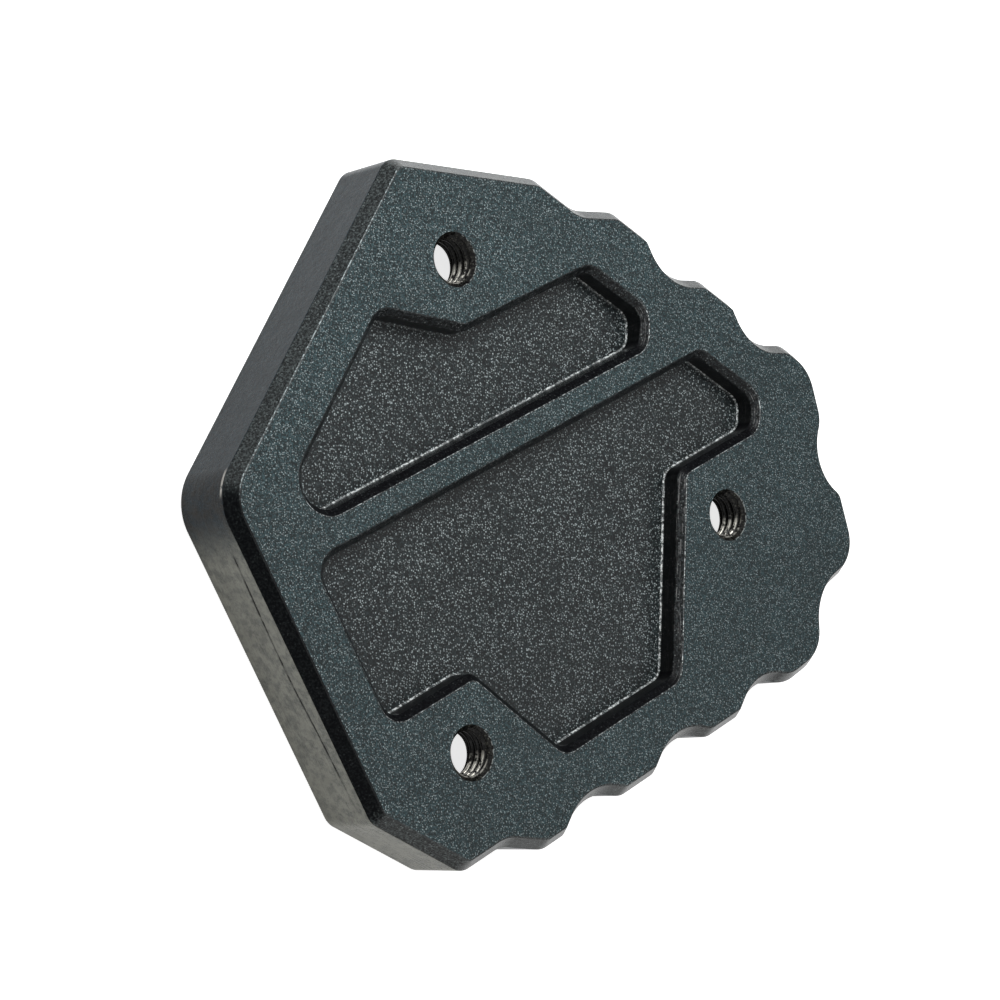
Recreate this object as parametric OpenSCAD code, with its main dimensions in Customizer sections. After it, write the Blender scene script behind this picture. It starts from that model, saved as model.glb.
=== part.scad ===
// Foot enlarger for a kickstand: the ground plate of the kit, milled from one block.
// It lies with the foot seat down and the pocketed ground face up. Before it is centred, X = 0
// is the line through the two side screw holes and Y = 0 runs halfway between them.

/* [Plate] */
// Height of the plate over its rim
plate_thickness = 9.3; // [8:0.1:14]
// Web left between the foot seat and the ground face
web_thickness = 4.6; // [4.2:0.1:6]
// Reach of the rear corner point behind the side screw holes
rear_reach = 32.4; // [27:0.1:39]
// Reach of the nose ahead of the side screw holes
nose_reach = 65.4; // [60:0.1:78]
// Reach of the flat edge from the middle line
flat_reach = 38.4; // [32:0.1:46]
// Reach of the low corner point on the other side
low_reach = 40.6; // [34:0.1:48]
// How far ahead of the side screw holes the flat edge ends
flat_end = 13.4; // [8:0.1:18]
// How far behind the side screw holes the low corner lies
low_corner_back = 0.9; // [-3:0.1:4]
// Angle of the rear edge that climbs to the flat edge
flat_rear_angle = 57.8; // [52:0.1:64]
// Angle of the rear edge on the low side
low_rear_angle = 61.1; // [56:0.1:66]
// Angle of the short edge between the low rear edge and the low corner
short_edge_angle = 25.7; // [20:0.1:32]

/* [Scalloped sides] */
// Angle of the scalloped side that starts at the flat edge
flat_side_angle = 26.4; // [22:0.1:30]
// Angle of the scalloped side that starts at the low corner
low_side_angle = 24; // [20:0.1:28]
// Step from one scallop to the next
scallop_pitch = 15.8; // [14:0.1:19]
// Width of a scallop between its two crests
scallop_width = 9.9; // [8:0.1:11]
// Depth of a scallop
scallop_depth = 3.1; // [2.4:0.1:3.8]
// How far the root of a scallop lies from its steep side
scallop_lean = 4.6; // [4:0.1:5.4]
// Radius in the root of a scallop
scallop_radius = 6; // [3:0.1:7]
// First crest on the flat edge's side, measured along that side
flat_first_crest = 5.8; // [4:0.1:8]
// First crest on the low corner's side
low_first_crest = 3.7; // [2.5:0.1:6]
// Run from the end of the flat edge to the first crest
flat_run = 12.2; // [11:0.1:14]
// Run from the low corner to the first crest
low_run = 11.7; // [10.8:0.1:14]

/* [Nose] */
// Radius of the circle on which the crests of the nose lie
nose_radius = 21.2; // [18:0.1:24]
// Depth of the two scallops in the nose
nose_scallop_depth = 5; // [3.5:0.1:6]
// How far the inner crests of the nose lie inside its circle
nose_crest_drop = 1.7; // [0.5:0.1:2.5]
// Shift of the nose circle towards the low side
nose_shift = 1.3; // [0:0.1:3]
// Directions of the nose's corners from its centre, low side first
nose_low_join = -68.5; // [-72:0.5:-62]
nose_low_shoulder = -48; // [-52:0.5:-44]
nose_low_root = -30.5; // [-34:0.5:-27]
nose_low_crest = -15.5; // [-18:0.5:-12]
// Direction of the tip
nose_tip = -6.5; // [-8:0.5:4]
nose_flat_crest = 15.5; // [12:0.5:18]
nose_flat_root = 30; // [27:0.5:34]
nose_flat_shoulder = 40.5; // [38:0.5:46]
nose_flat_join = 56; // [50:0.5:62]

/* [Edges] */
// Width of the bevel round the ground face
bevel_width = 1.15; // [0.6:0.05:1.4]
// Depth of the bevel down the wall
bevel_depth = 1.55; // [0.8:0.05:2.2]
// Radius of the rear corner
rear_radius = 6.2; // [4:0.1:9]
// Radius of the plate's other corners
corner_radius = 2.6; // [1.5:0.1:4]
// Radius on the steep edge of a crest
sharp_crest_radius = 1.3; // [1.2:0.1:2]
// Radius on the gentle edge of a crest
soft_crest_radius = 2.9; // [1.5:0.1:4]
// Radius of the first step at each side
step_radius = 4; // [2:0.1:5]
// Radius where a side runs into the nose
join_radius = 6.4; // [4:0.1:8]
// Radius of the nose's shoulders and tip
shoulder_radius = 5.4; // [3:0.1:7]

/* [Pockets] */
// Depth of the two pockets in the ground face
pocket_depth = 3.2; // [2:0.1:3.6]
// Bevel round the mouth of a pocket
pocket_bevel = 0.8; // [0.4:0.1:1.2]
// Radius in the corners of the pockets
pocket_radius = 2.2; // [1.6:0.1:3.4]
// Radius in the long pointed corner by the rib
point_radius = 3.2; // [2.4:0.1:4.4]
// Margin between the rear edges and the pockets
rear_margin = 7.4; // [6:0.1:9]
// Margin between the crests of the scalloped sides and the pockets
side_margin = 9.1; // [7.5:0.1:10]
// Width of the slanting rib between the pockets
rib_width = 4.5; // [2.6:0.1:6]
// Angle of the rib
rib_angle = 24.3; // [20:0.1:28]
// Distance of the rib's middle from the middle of the side screw holes
rib_offset = 4.1; // [2:0.1:6]
// Blunt end of the small pocket, behind the front screw hole
small_pocket_gap = 12.6; // [10:0.1:16]
// Blunt end of the large pocket, ahead of the front screw hole
large_pocket_lead = 5.7; // [4:0.1:8]
// Slant of the pockets' cross edges
cross_slant = 5.2; // [0:0.1:8]

/* [Screw holes] */
// Distance of each side screw hole from its own edge line
hole_inset = 10.9; // [9.5:0.1:13]
// Distance of the front screw hole from the nose
front_hole_inset = 23.6; // [21:0.1:27]
// Nominal diameter of the screw thread
thread_diameter = 6; // [5:0.5:6]
// Pitch of the screw thread
thread_pitch = 1; // [0.8:0.05:1]
// Width of the countersink beyond the thread
countersink_lip = 0.15; // [0.05:0.05:0.4]
// Land kept between a hole's centre and the pockets
hole_land = 7.9; // [6.4:0.1:8.4]
// Direction of the low hole's second land
low_land_angle = 56; // [50:0.5:62]

/* [Foot seat] */
// Width of the rim round the seat for the stand's foot
rim_width = 3; // [2.2:0.1:3.4]
// Radius in the corners of the seat
seat_radius = 5; // [3:0.1:8]

/* [Hidden] */
$fn = 96;
overlap = 0.4;
// Each arc swings this much wider than its edges ask, so that the two cross cleanly
ease = 0.005;
// Neighbouring bevel cutters run this far into each other
lead = 0.4;
core_radius = (thread_diameter - thread_pitch) / 2;
mouth_radius = thread_diameter / 2 + countersink_lip;
seat_depth = plate_thickness - web_thickness;
hole_side = flat_reach - hole_inset;
hole_places = [[0, hole_side], [nose_reach - front_hole_inset, 0], [0, -hole_side]];
nose_centre = [nose_reach - nose_radius, -nose_shift];

// Points and lines. A line is a point on it and its heading.
function polar(radius, angle) = [radius * cos(angle), radius * sin(angle)];
function along(start, heading, run, aside = 0) =
    start + polar(run, heading) + polar(aside, heading + 90);
function crossing(a, b) =
    let (
        da = polar(1, a[1]),
        db = polar(1, b[1]),
        gap = b[0] - a[0],
        run = (gap.x * db.y - gap.y * db.x) / (da.x * db.y - da.y * db.x)
    )
    a[0] + run * da;

// A line beside another, towards the left of its heading.
function beside(a, aside) = [along(a[0], a[1], 0, aside), a[1]];

// The edges of the plate, with the material on the left.
rear_point = [-rear_reach, 0];
low_rear_edge = [rear_point, -low_rear_angle];
flat_rear_edge = [rear_point, 180 + flat_rear_angle];
flat_edge = [[0, flat_reach], 180];
low_corner = [-low_corner_back, -low_reach];
flat_corner = [flat_end, flat_reach];
short_edge = [low_corner, -short_edge_angle];
low_inner = [low_corner, low_side_angle];
flat_inner = [flat_corner, 180 - flat_side_angle];
low_start = along(low_corner, low_side_angle, low_run, -scallop_depth);
flat_start = along(flat_corner, -flat_side_angle, flat_run, scallop_depth);
low_side = [low_start, low_side_angle];
flat_side = [flat_start, 180 - flat_side_angle];
low_end = crossing(low_side, [nose_centre, nose_low_join]);
flat_end_point = crossing(flat_side, [nose_centre, nose_flat_join]);

// Scallops fill each side as far as the nose. The last on the low side runs out into it.
low_length = norm(low_end - low_start);
flat_length = norm(flat_end_point - flat_start);
low_count = max(1, round((low_length - low_first_crest) / scallop_pitch));
flat_count = max(1, round((flat_length - flat_first_crest) / scallop_pitch));

// Rows of [point, corner radius].
low_rows = [
    for (k = [0 : low_count - 1])
    let (s = low_first_crest + k * scallop_pitch)
    each [
        [along(low_start, low_side_angle, s), sharp_crest_radius],
        [along(low_start, low_side_angle, s + scallop_lean, scallop_depth), scallop_radius],
        if (k < low_count - 1)
        [along(low_start, low_side_angle, s + scallop_width), soft_crest_radius]
    ]
];
flat_rows = [
    for (k = [flat_count - 1 : -1 : 0])
    let (s = flat_first_crest + k * scallop_pitch)
    each [
        [along(flat_start, -flat_side_angle, s + scallop_width), soft_crest_radius],
        [along(flat_start, -flat_side_angle, s + scallop_lean, -scallop_depth), scallop_radius],
        [along(flat_start, -flat_side_angle, s), sharp_crest_radius]
    ]
];
nose_rows = [
    for (row = [
        [nose_low_shoulder, 0, shoulder_radius],
        [nose_low_root, nose_scallop_depth, scallop_radius],
        [nose_low_crest, nose_crest_drop, soft_crest_radius],
        [nose_tip, 0, shoulder_radius],
        [nose_flat_crest, nose_crest_drop, soft_crest_radius],
        [nose_flat_root, nose_scallop_depth, scallop_radius],
        [nose_flat_shoulder, 0, shoulder_radius]
    ])
    [nose_centre + polar(nose_radius - row[1], row[0]), row[2]]
];
step_lead = scallop_width - scallop_lean;
plate_rows = concat(
    [
        [rear_point, rear_radius],
        [crossing(low_rear_edge, short_edge), corner_radius],
        [low_corner, corner_radius],
        [along(low_start, low_side_angle, -step_lead, scallop_depth), step_radius],
        [low_start, soft_crest_radius]
    ],
    low_rows,
    [[low_end, join_radius]],
    nose_rows,
    [[flat_end_point, join_radius]],
    flat_rows,
    [
        [flat_start, soft_crest_radius],
        [along(flat_start, -flat_side_angle, -step_lead, -scallop_depth), step_radius],
        [flat_corner, soft_crest_radius],
        [crossing(flat_edge, flat_rear_edge), corner_radius]
    ]
);

// The pockets' edges keep their margins to the plate's edges and their lands to the holes.
low_rear_wall = beside(low_rear_edge, rear_margin);
flat_rear_wall = beside(flat_rear_edge, rear_margin);
low_side_wall = beside(low_side, side_margin);
flat_side_wall = beside(flat_side, side_margin);
rib_line = [polar(rib_offset, rib_angle + 90), rib_angle];
rib_upper = beside(rib_line, rib_width / 2);
rib_lower = beside(rib_line, -rib_width / 2);
function land(place, away) = [place + polar(hole_land, away), away + 90];
cross_heading = 90 - cross_slant;
small_end = [[hole_places[1].x - small_pocket_gap, hole_side - 4], cross_heading];
large_end = [[hole_places[1].x + large_pocket_lead, hole_side / 2], cross_heading];

// Where a pocket's edge meets the side wall ahead of its blunt end it has two corners, or else one.
function blunt(edge, side, end) =
    crossing(edge, side).x < crossing(side, end).x
    ? [[crossing(edge, side), pocket_radius], [crossing(side, end), pocket_radius]]
    : [[crossing(edge, end), pocket_radius]];

// Both run clockwise, so the material is on the left here as well.
small_pocket_rows = [
    [crossing(rib_upper, flat_rear_wall), point_radius],
    [crossing(flat_rear_wall, land(hole_places[0], -90 - cross_slant)), pocket_radius],
    [crossing(land(hole_places[0], -90 - cross_slant), land(hole_places[0], rib_angle - 90)), pocket_radius],
    each blunt(land(hole_places[0], rib_angle - 90), flat_side_wall, small_end),
    [crossing(small_end, rib_upper), pocket_radius]
];
large_pocket_rows = [
    [crossing(low_rear_wall, rib_lower), pocket_radius],
    each blunt(rib_lower, flat_side_wall, large_end),
    [crossing(large_end, land(hole_places[1], rib_angle + 90)), pocket_radius],
    [crossing(land(hole_places[1], rib_angle + 90), land(hole_places[1], 180 - cross_slant)), pocket_radius],
    [crossing(land(hole_places[1], 180 - cross_slant), low_side_wall), pocket_radius],
    [crossing(low_side_wall, land(hole_places[2], low_land_angle)), pocket_radius],
    [crossing(land(hole_places[2], low_land_angle), land(hole_places[2], rib_angle + 90)), pocket_radius],
    [crossing(land(hole_places[2], rib_angle + 90), low_rear_wall), pocket_radius]
];

// The seat follows the plate's straight edges and passes inside the roots of the scallops.
seat_nose = [[nose_centre.x + nose_radius - nose_scallop_depth - rim_width, 0], 90];
seat_rows = [
    [crossing(beside(flat_rear_edge, rim_width), beside(low_rear_edge, rim_width)), seat_radius],
    [crossing(beside(low_rear_edge, rim_width), beside(short_edge, rim_width)), seat_radius],
    [crossing(beside(short_edge, rim_width), beside(low_inner, rim_width)), seat_radius],
    [crossing(beside(low_inner, rim_width), seat_nose), seat_radius],
    [crossing(seat_nose, beside(flat_inner, rim_width)), seat_radius],
    [crossing(beside(flat_inner, rim_width), beside(flat_edge, rim_width)), seat_radius],
    [crossing(beside(flat_edge, rim_width), beside(flat_rear_edge, rim_width)), seat_radius]
];

// Corners as [point, arc start, arc end, arc centre, radius, turn, heading in].
function heading(a, b) = atan2(b.y - a.y, b.x - a.x);
function turned(a, b) = ((b - a + 540) % 360) - 180;
function row_turn(rows, i) =
    let (n = len(rows))
    turned(
        heading(rows[(i + n - 1) % n][0], rows[i][0]),
        heading(rows[i][0], rows[(i + 1) % n][0])
    );
function wanted(rows, i) = rows[i % len(rows)][1] * tan(abs(row_turn(rows, i % len(rows))) / 2);
function edge_share(rows, i) =
    min(1, norm(rows[(i + 1) % len(rows)][0] - rows[i][0]) / (wanted(rows, i) + wanted(rows, i + 1)));
function corners(rows) = [
    for (i = [0 : len(rows) - 1])
    let (
        n = len(rows),
        before = heading(rows[(i + n - 1) % n][0], rows[i][0]),
        turn = row_turn(rows, i),
        radius = rows[i][1] * min(edge_share(rows, i), edge_share(rows, (i + n - 1) % n)),
        tangent = radius * tan(abs(turn) / 2)
    )
    [
        rows[i][0],
        rows[i][0] - polar(tangent, before),
        rows[i][0] + polar(tangent, before + turn),
        rows[i][0] - polar(tangent, before) + polar(radius, before + sign(turn) * 90),
        radius + ease,
        turn,
        before
    ]
];

// How far the finished outline reaches, to centre the plate.
plate_points = [
    for (c = corners(plate_rows))
    for (step = [0 : 0.01 : 1])
    c[3] + polar(c[4], c[6] + c[5] * step - sign(c[5]) * 90)
];
plate_middle = [
    (max([for (p = plate_points) p.x]) + min([for (p = plate_points) p.x])) / 2,
    (max([for (p = plate_points) p.y]) + min([for (p = plate_points) p.y])) / 2
];

// A closed outline with true arcs in its corners. Way is 1 with the rows anticlockwise.
module outline(rows, way = 1) {
    list = corners(rows);
    difference() {
        union() {
            polygon([for (c = list) each [c[1], c[2]]]);
            for (c = list)
                if (c[5] * way > 0) corner_piece(c);
        }
        for (c = list)
            if (c[5] * way < 0) corner_piece(c);
    }
}

// The part of a corner's disc that lies beyond its chord.
module corner_piece(c) {
    intersection() {
        polygon([c[1], c[0], c[2]]);
        translate(c[3]) circle(r = c[4]);
    }
}

// A bevel round the upper edge of an outline, cut from the children at the height z. The straight
// runs go first and neighbouring corners go one after the other.
module bevelled(rows, width, depth, z) {
    difference() {
        difference() {
            difference() {
                children();
                bevel_runs(rows, width, depth, z);
            }
            bevel_turns(rows, width, depth, z, 0);
        }
        bevel_turns(rows, width, depth, z, 1);
    }
}

// Section of the bevel cutter: x runs into the material and y upwards.
function cutter_low(width, depth) = -depth * (1 + overlap / width);
function cutter_top() = overlap / 4;
function cutter_inner(width, depth) = width * (1 + cutter_top() / depth);

module bevel_runs(rows, width, depth, z) {
    list = corners(rows);
    for (i = [0 : len(list) - 1]) {
        c = list[i];
        next = list[(i + 1) % len(list)];
        start = c[5] > 0 ? lead : 0;
        run = norm(next[1] - c[2]) + start + (next[5] > 0 ? lead : 0);
        if (run > 0.01)
            translate([c[2].x, c[2].y, z])
            rotate(c[6] + c[5])
            translate([-start, 0, 0])
            rotate([90, 0, 90])
            linear_extrude(run)
            polygon([
                [-overlap, cutter_low(width, depth)],
                [cutter_inner(width, depth), cutter_top()],
                [-overlap, cutter_top()]
            ]);
    }
}

module bevel_turns(rows, width, depth, z, first) {
    list = corners(rows);
    for (i = [first : 2 : len(list) - 1]) {
        c = list[i];
        side = sign(c[5]);
        more = side < 0 ? lead / c[4] * 180 / PI : 0;
        wall = c[4] + side * overlap;
        reach = c[4] - side * cutter_inner(width, depth);
        low = cutter_low(width, depth);
        top = cutter_top();
        translate([c[3].x, c[3].y, z])
        rotate(c[6] - side * 90 + min(0, c[5]) - more)
        rotate_extrude(angle = abs(c[5]) + 2 * more)
        polygon(
            reach >= 0
            ? [[wall, low], [reach, top], [wall, top]]
            : [[wall, low], [0, depth * (c[4] / width - 1)], [0, top], [wall, top]]
        );
    }
}

module screw_hole() {
    bite = mouth_radius - core_radius;
    translate([0, 0, -overlap]) cylinder(r = core_radius, h = plate_thickness + 2 * overlap);
    translate([0, 0, plate_thickness - bite])
    cylinder(r1 = core_radius, r2 = mouth_radius + overlap, h = bite + overlap);
    translate([0, 0, seat_depth - overlap])
    cylinder(r1 = mouth_radius + overlap, r2 = core_radius, h = bite + overlap);
}

module pocket(rows) {
    translate([0, 0, plate_thickness - pocket_depth])
    linear_extrude(pocket_depth + overlap)
    outline(rows, -1);
}

module foot_plate() {
    color([0.2, 0.22, 0.23])
    translate([-plate_middle.x, -plate_middle.y, 0])
    difference() {
        bevelled(large_pocket_rows, pocket_bevel, pocket_bevel, plate_thickness)
        bevelled(small_pocket_rows, pocket_bevel, pocket_bevel, plate_thickness)
        difference() {
            bevelled(plate_rows, bevel_width, bevel_depth, plate_thickness)
            linear_extrude(plate_thickness)
            outline(plate_rows);
            pocket(small_pocket_rows);
            pocket(large_pocket_rows);
        }
        translate([0, 0, -overlap])
        linear_extrude(seat_depth + overlap)
        outline(seat_rows);
        for (place = hole_places)
            translate(place) screw_hole();
    }
}

foot_plate();
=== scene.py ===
import math
import bpy
from mathutils import Matrix, Vector
from mathutils.geometry import delaunay_2d_cdt
from mathutils.kdtree import KDTree


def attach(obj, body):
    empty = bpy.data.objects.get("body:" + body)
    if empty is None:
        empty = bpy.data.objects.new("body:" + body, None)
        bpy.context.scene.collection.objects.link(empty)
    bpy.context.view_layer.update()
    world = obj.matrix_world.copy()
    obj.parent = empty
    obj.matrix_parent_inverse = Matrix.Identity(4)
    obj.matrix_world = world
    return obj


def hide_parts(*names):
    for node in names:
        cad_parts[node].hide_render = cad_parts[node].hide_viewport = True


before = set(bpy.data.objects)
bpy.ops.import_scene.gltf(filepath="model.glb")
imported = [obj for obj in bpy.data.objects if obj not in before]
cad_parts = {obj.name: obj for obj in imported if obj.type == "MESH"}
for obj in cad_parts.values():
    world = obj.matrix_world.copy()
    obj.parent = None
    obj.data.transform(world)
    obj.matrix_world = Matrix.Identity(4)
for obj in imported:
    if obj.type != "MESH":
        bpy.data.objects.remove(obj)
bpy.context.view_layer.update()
scene = bpy.context.scene
mm = 1000  # millimetres in a metre
print("frame loaded:", sorted(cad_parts))


# Shader maths: a Wire is one output socket, and its operators add Math nodes
class Wire:
    def __init__(self, tree, socket=None):
        self.tree, self.socket = tree, socket

    def node(self, kind, settings=None, sockets=None, out=0):
        made = self.tree.nodes.new(kind)
        for key, value in (settings or {}).items():
            setattr(made, key, value)
        for key, value in (sockets or {}).items():
            if isinstance(value, Wire):
                self.tree.links.new(value.socket, made.inputs[key])
            else:
                made.inputs[key].default_value = value
        return Wire(self.tree, made.outputs[out])

    def other(self, out):  # another output of the same node
        return Wire(self.tree, self.socket.node.outputs[out])

    def ends(self, kind):  # this is what the tree gives out
        self.tree.links.new(self.socket, self.tree.nodes.new(kind).inputs[0])

    def maths(self, operation, *rest):
        return self.node("ShaderNodeMath", {"operation": operation}, dict(enumerate((self,) + rest)))

    def swapped(self, operation, first):
        return self.node("ShaderNodeMath", {"operation": operation}, {0: first, 1: self})

    def __add__(self, other): return self.maths("ADD", other)
    def __radd__(self, other): return self.swapped("ADD", other)
    def __sub__(self, other): return self.maths("SUBTRACT", other)
    def __rsub__(self, other): return self.swapped("SUBTRACT", other)
    def __mul__(self, other): return self.maths("MULTIPLY", other)
    def __rmul__(self, other): return self.swapped("MULTIPLY", other)
    def __truediv__(self, other): return self.maths("DIVIDE", other)
    def __abs__(self): return self.maths("ABSOLUTE")
    def atMost(self, other): return self.maths("MINIMUM", other)
    def atLeast(self, other): return self.maths("MAXIMUM", other)

    def ramp(self, low, high, first=0.0, last=1.0):  # an S-shaped change from first to last
        return self.node("ShaderNodeMapRange", {"interpolation_type": "SMOOTHSTEP"},
                         {"Value": self, "From Min": low, "From Max": high, "To Min": first, "To Max": last})

    def blend(self, first, second):  # colours by this factor
        return self.node("ShaderNodeMix", {"data_type": "RGBA"}, {0: self, 6: first, 7: second}, out=2)

    def parts(self):  # a vector's x, y and z
        x = self.node("ShaderNodeSeparateXYZ", None, {0: self})
        return x, x.other(1), x.other(2)

    def stretched(self, x, y, z):  # a vector, each axis by its own factor
        return self.node("ShaderNodeVectorMath", {"operation": "MULTIPLY"}, {0: self, 1: (x, y, z)})

    def moved(self, x, y, z):
        return self.node("ShaderNodeVectorMath", {"operation": "ADD"}, {0: self, 1: (x, y, z)})

    def noise(self, scale, detail, rough):
        return self.node("ShaderNodeTexNoise", None,
                         {"Vector": self, "Scale": scale, "Detail": detail, "Roughness": rough})

    def cells(self, scale):  # distance from the nearest of scattered points
        return self.node("ShaderNodeTexVoronoi", {"feature": "F1"}, {"Vector": self, "Scale": scale})


# The foot plate. Sizes in millimetres and angles in degrees, the same as in the CAD source
footPlate = {
    "plateThickness": 9.3, "webThickness": 4.6,
    "rearReach": 32.4, "noseReach": 65.4, "flatReach": 38.4, "lowReach": 40.6,
    "flatEnd": 13.4, "lowCornerBack": 0.9,
    "flatRearAngle": 57.8, "lowRearAngle": 61.1, "shortEdgeAngle": 25.7,
    "flatSideAngle": 26.4, "lowSideAngle": 24.0,
    "scallopPitch": 15.8, "scallopWidth": 9.9, "scallopDepth": 3.1, "scallopLean": 4.6,
    "flatFirstCrest": 5.8, "lowFirstCrest": 3.7, "flatRun": 12.2, "lowRun": 11.7,
    "noseRadius": 21.2, "noseScallopDepth": 5.0, "noseCrestDrop": 1.7, "noseShift": 1.3,
    "noseAngles": {"lowJoin": -68.5, "lowShoulder": -48.0, "lowRoot": -30.5, "lowCrest": -15.5, "tip": -6.5,
                   "flatCrest": 15.5, "flatRoot": 30.0, "flatShoulder": 40.5, "flatJoin": 56.0},
    "radii": {"rear": 6.2, "corner": 2.6, "sharpCrest": 1.3, "softCrest": 2.9, "root": 6.0, "step": 4.0,
              "join": 6.4, "shoulder": 5.4, "pocket": 2.2, "point": 3.2, "seat": 5.0},
    "bevelWidth": 1.15, "bevelDepth": 1.55,
    "pocketDepth": 3.2, "pocketBevel": 0.8, "rearMargin": 7.4, "sideMargin": 9.1,
    "ribWidth": 4.5, "ribAngle": 24.3, "ribOffset": 4.1,
    "smallPocketGap": 12.6, "smallPocketDrop": 4.0, "largePocketLead": 5.7, "crossSlant": 5.2,
    "holeInset": 10.9, "frontHoleInset": 23.6, "holeLand": 7.9, "lowLandAngle": 56.0,
    "rimWidth": 3.0,
    # Only in this model: the fillets on the edges, and how much of the scuffing and painted highlight a pocket's foot
    # shows
    "softFoot": 0.25, "softBevel": 0.16, "softFace": 0.26, "softMouth": 0.24, "softFloor": 0.26, "softSeat": 0.4,
    "floorWornAndLit": 0.55, "filletSteps": 4,
    "arcStep": 4.0, "measureStep": 0.5,  # degrees of an arc for each column of faces, and for finding the middle
}
leastRadius = 0.004  # of an arc that an inset has used up
leastSteps, leastGap = 3, 0.002  # columns of faces for an arc, and between two columns
onePoint = 1e-6  # corners this near count as one when a flat is filled


def polar(radius, angle):
    turn = math.radians(angle)
    return Vector((radius * math.cos(turn), radius * math.sin(turn)))


def along(start, heading, run, aside=0.0):
    return start + polar(run, heading) + polar(aside, heading + 90)


def crossing(a, b):  # a line is a point on it and its heading
    da, db, gap = polar(1, a[1]), polar(1, b[1]), b[0] - a[0]
    return a[0] + da * ((gap.x * db.y - gap.y * db.x) / (da.x * db.y - da.y * db.x))


def beside(line, aside):
    return (along(line[0], line[1], 0, aside), line[1])


def headingTo(a, b):
    return math.degrees(math.atan2(b.y - a.y, b.x - a.x))


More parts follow.
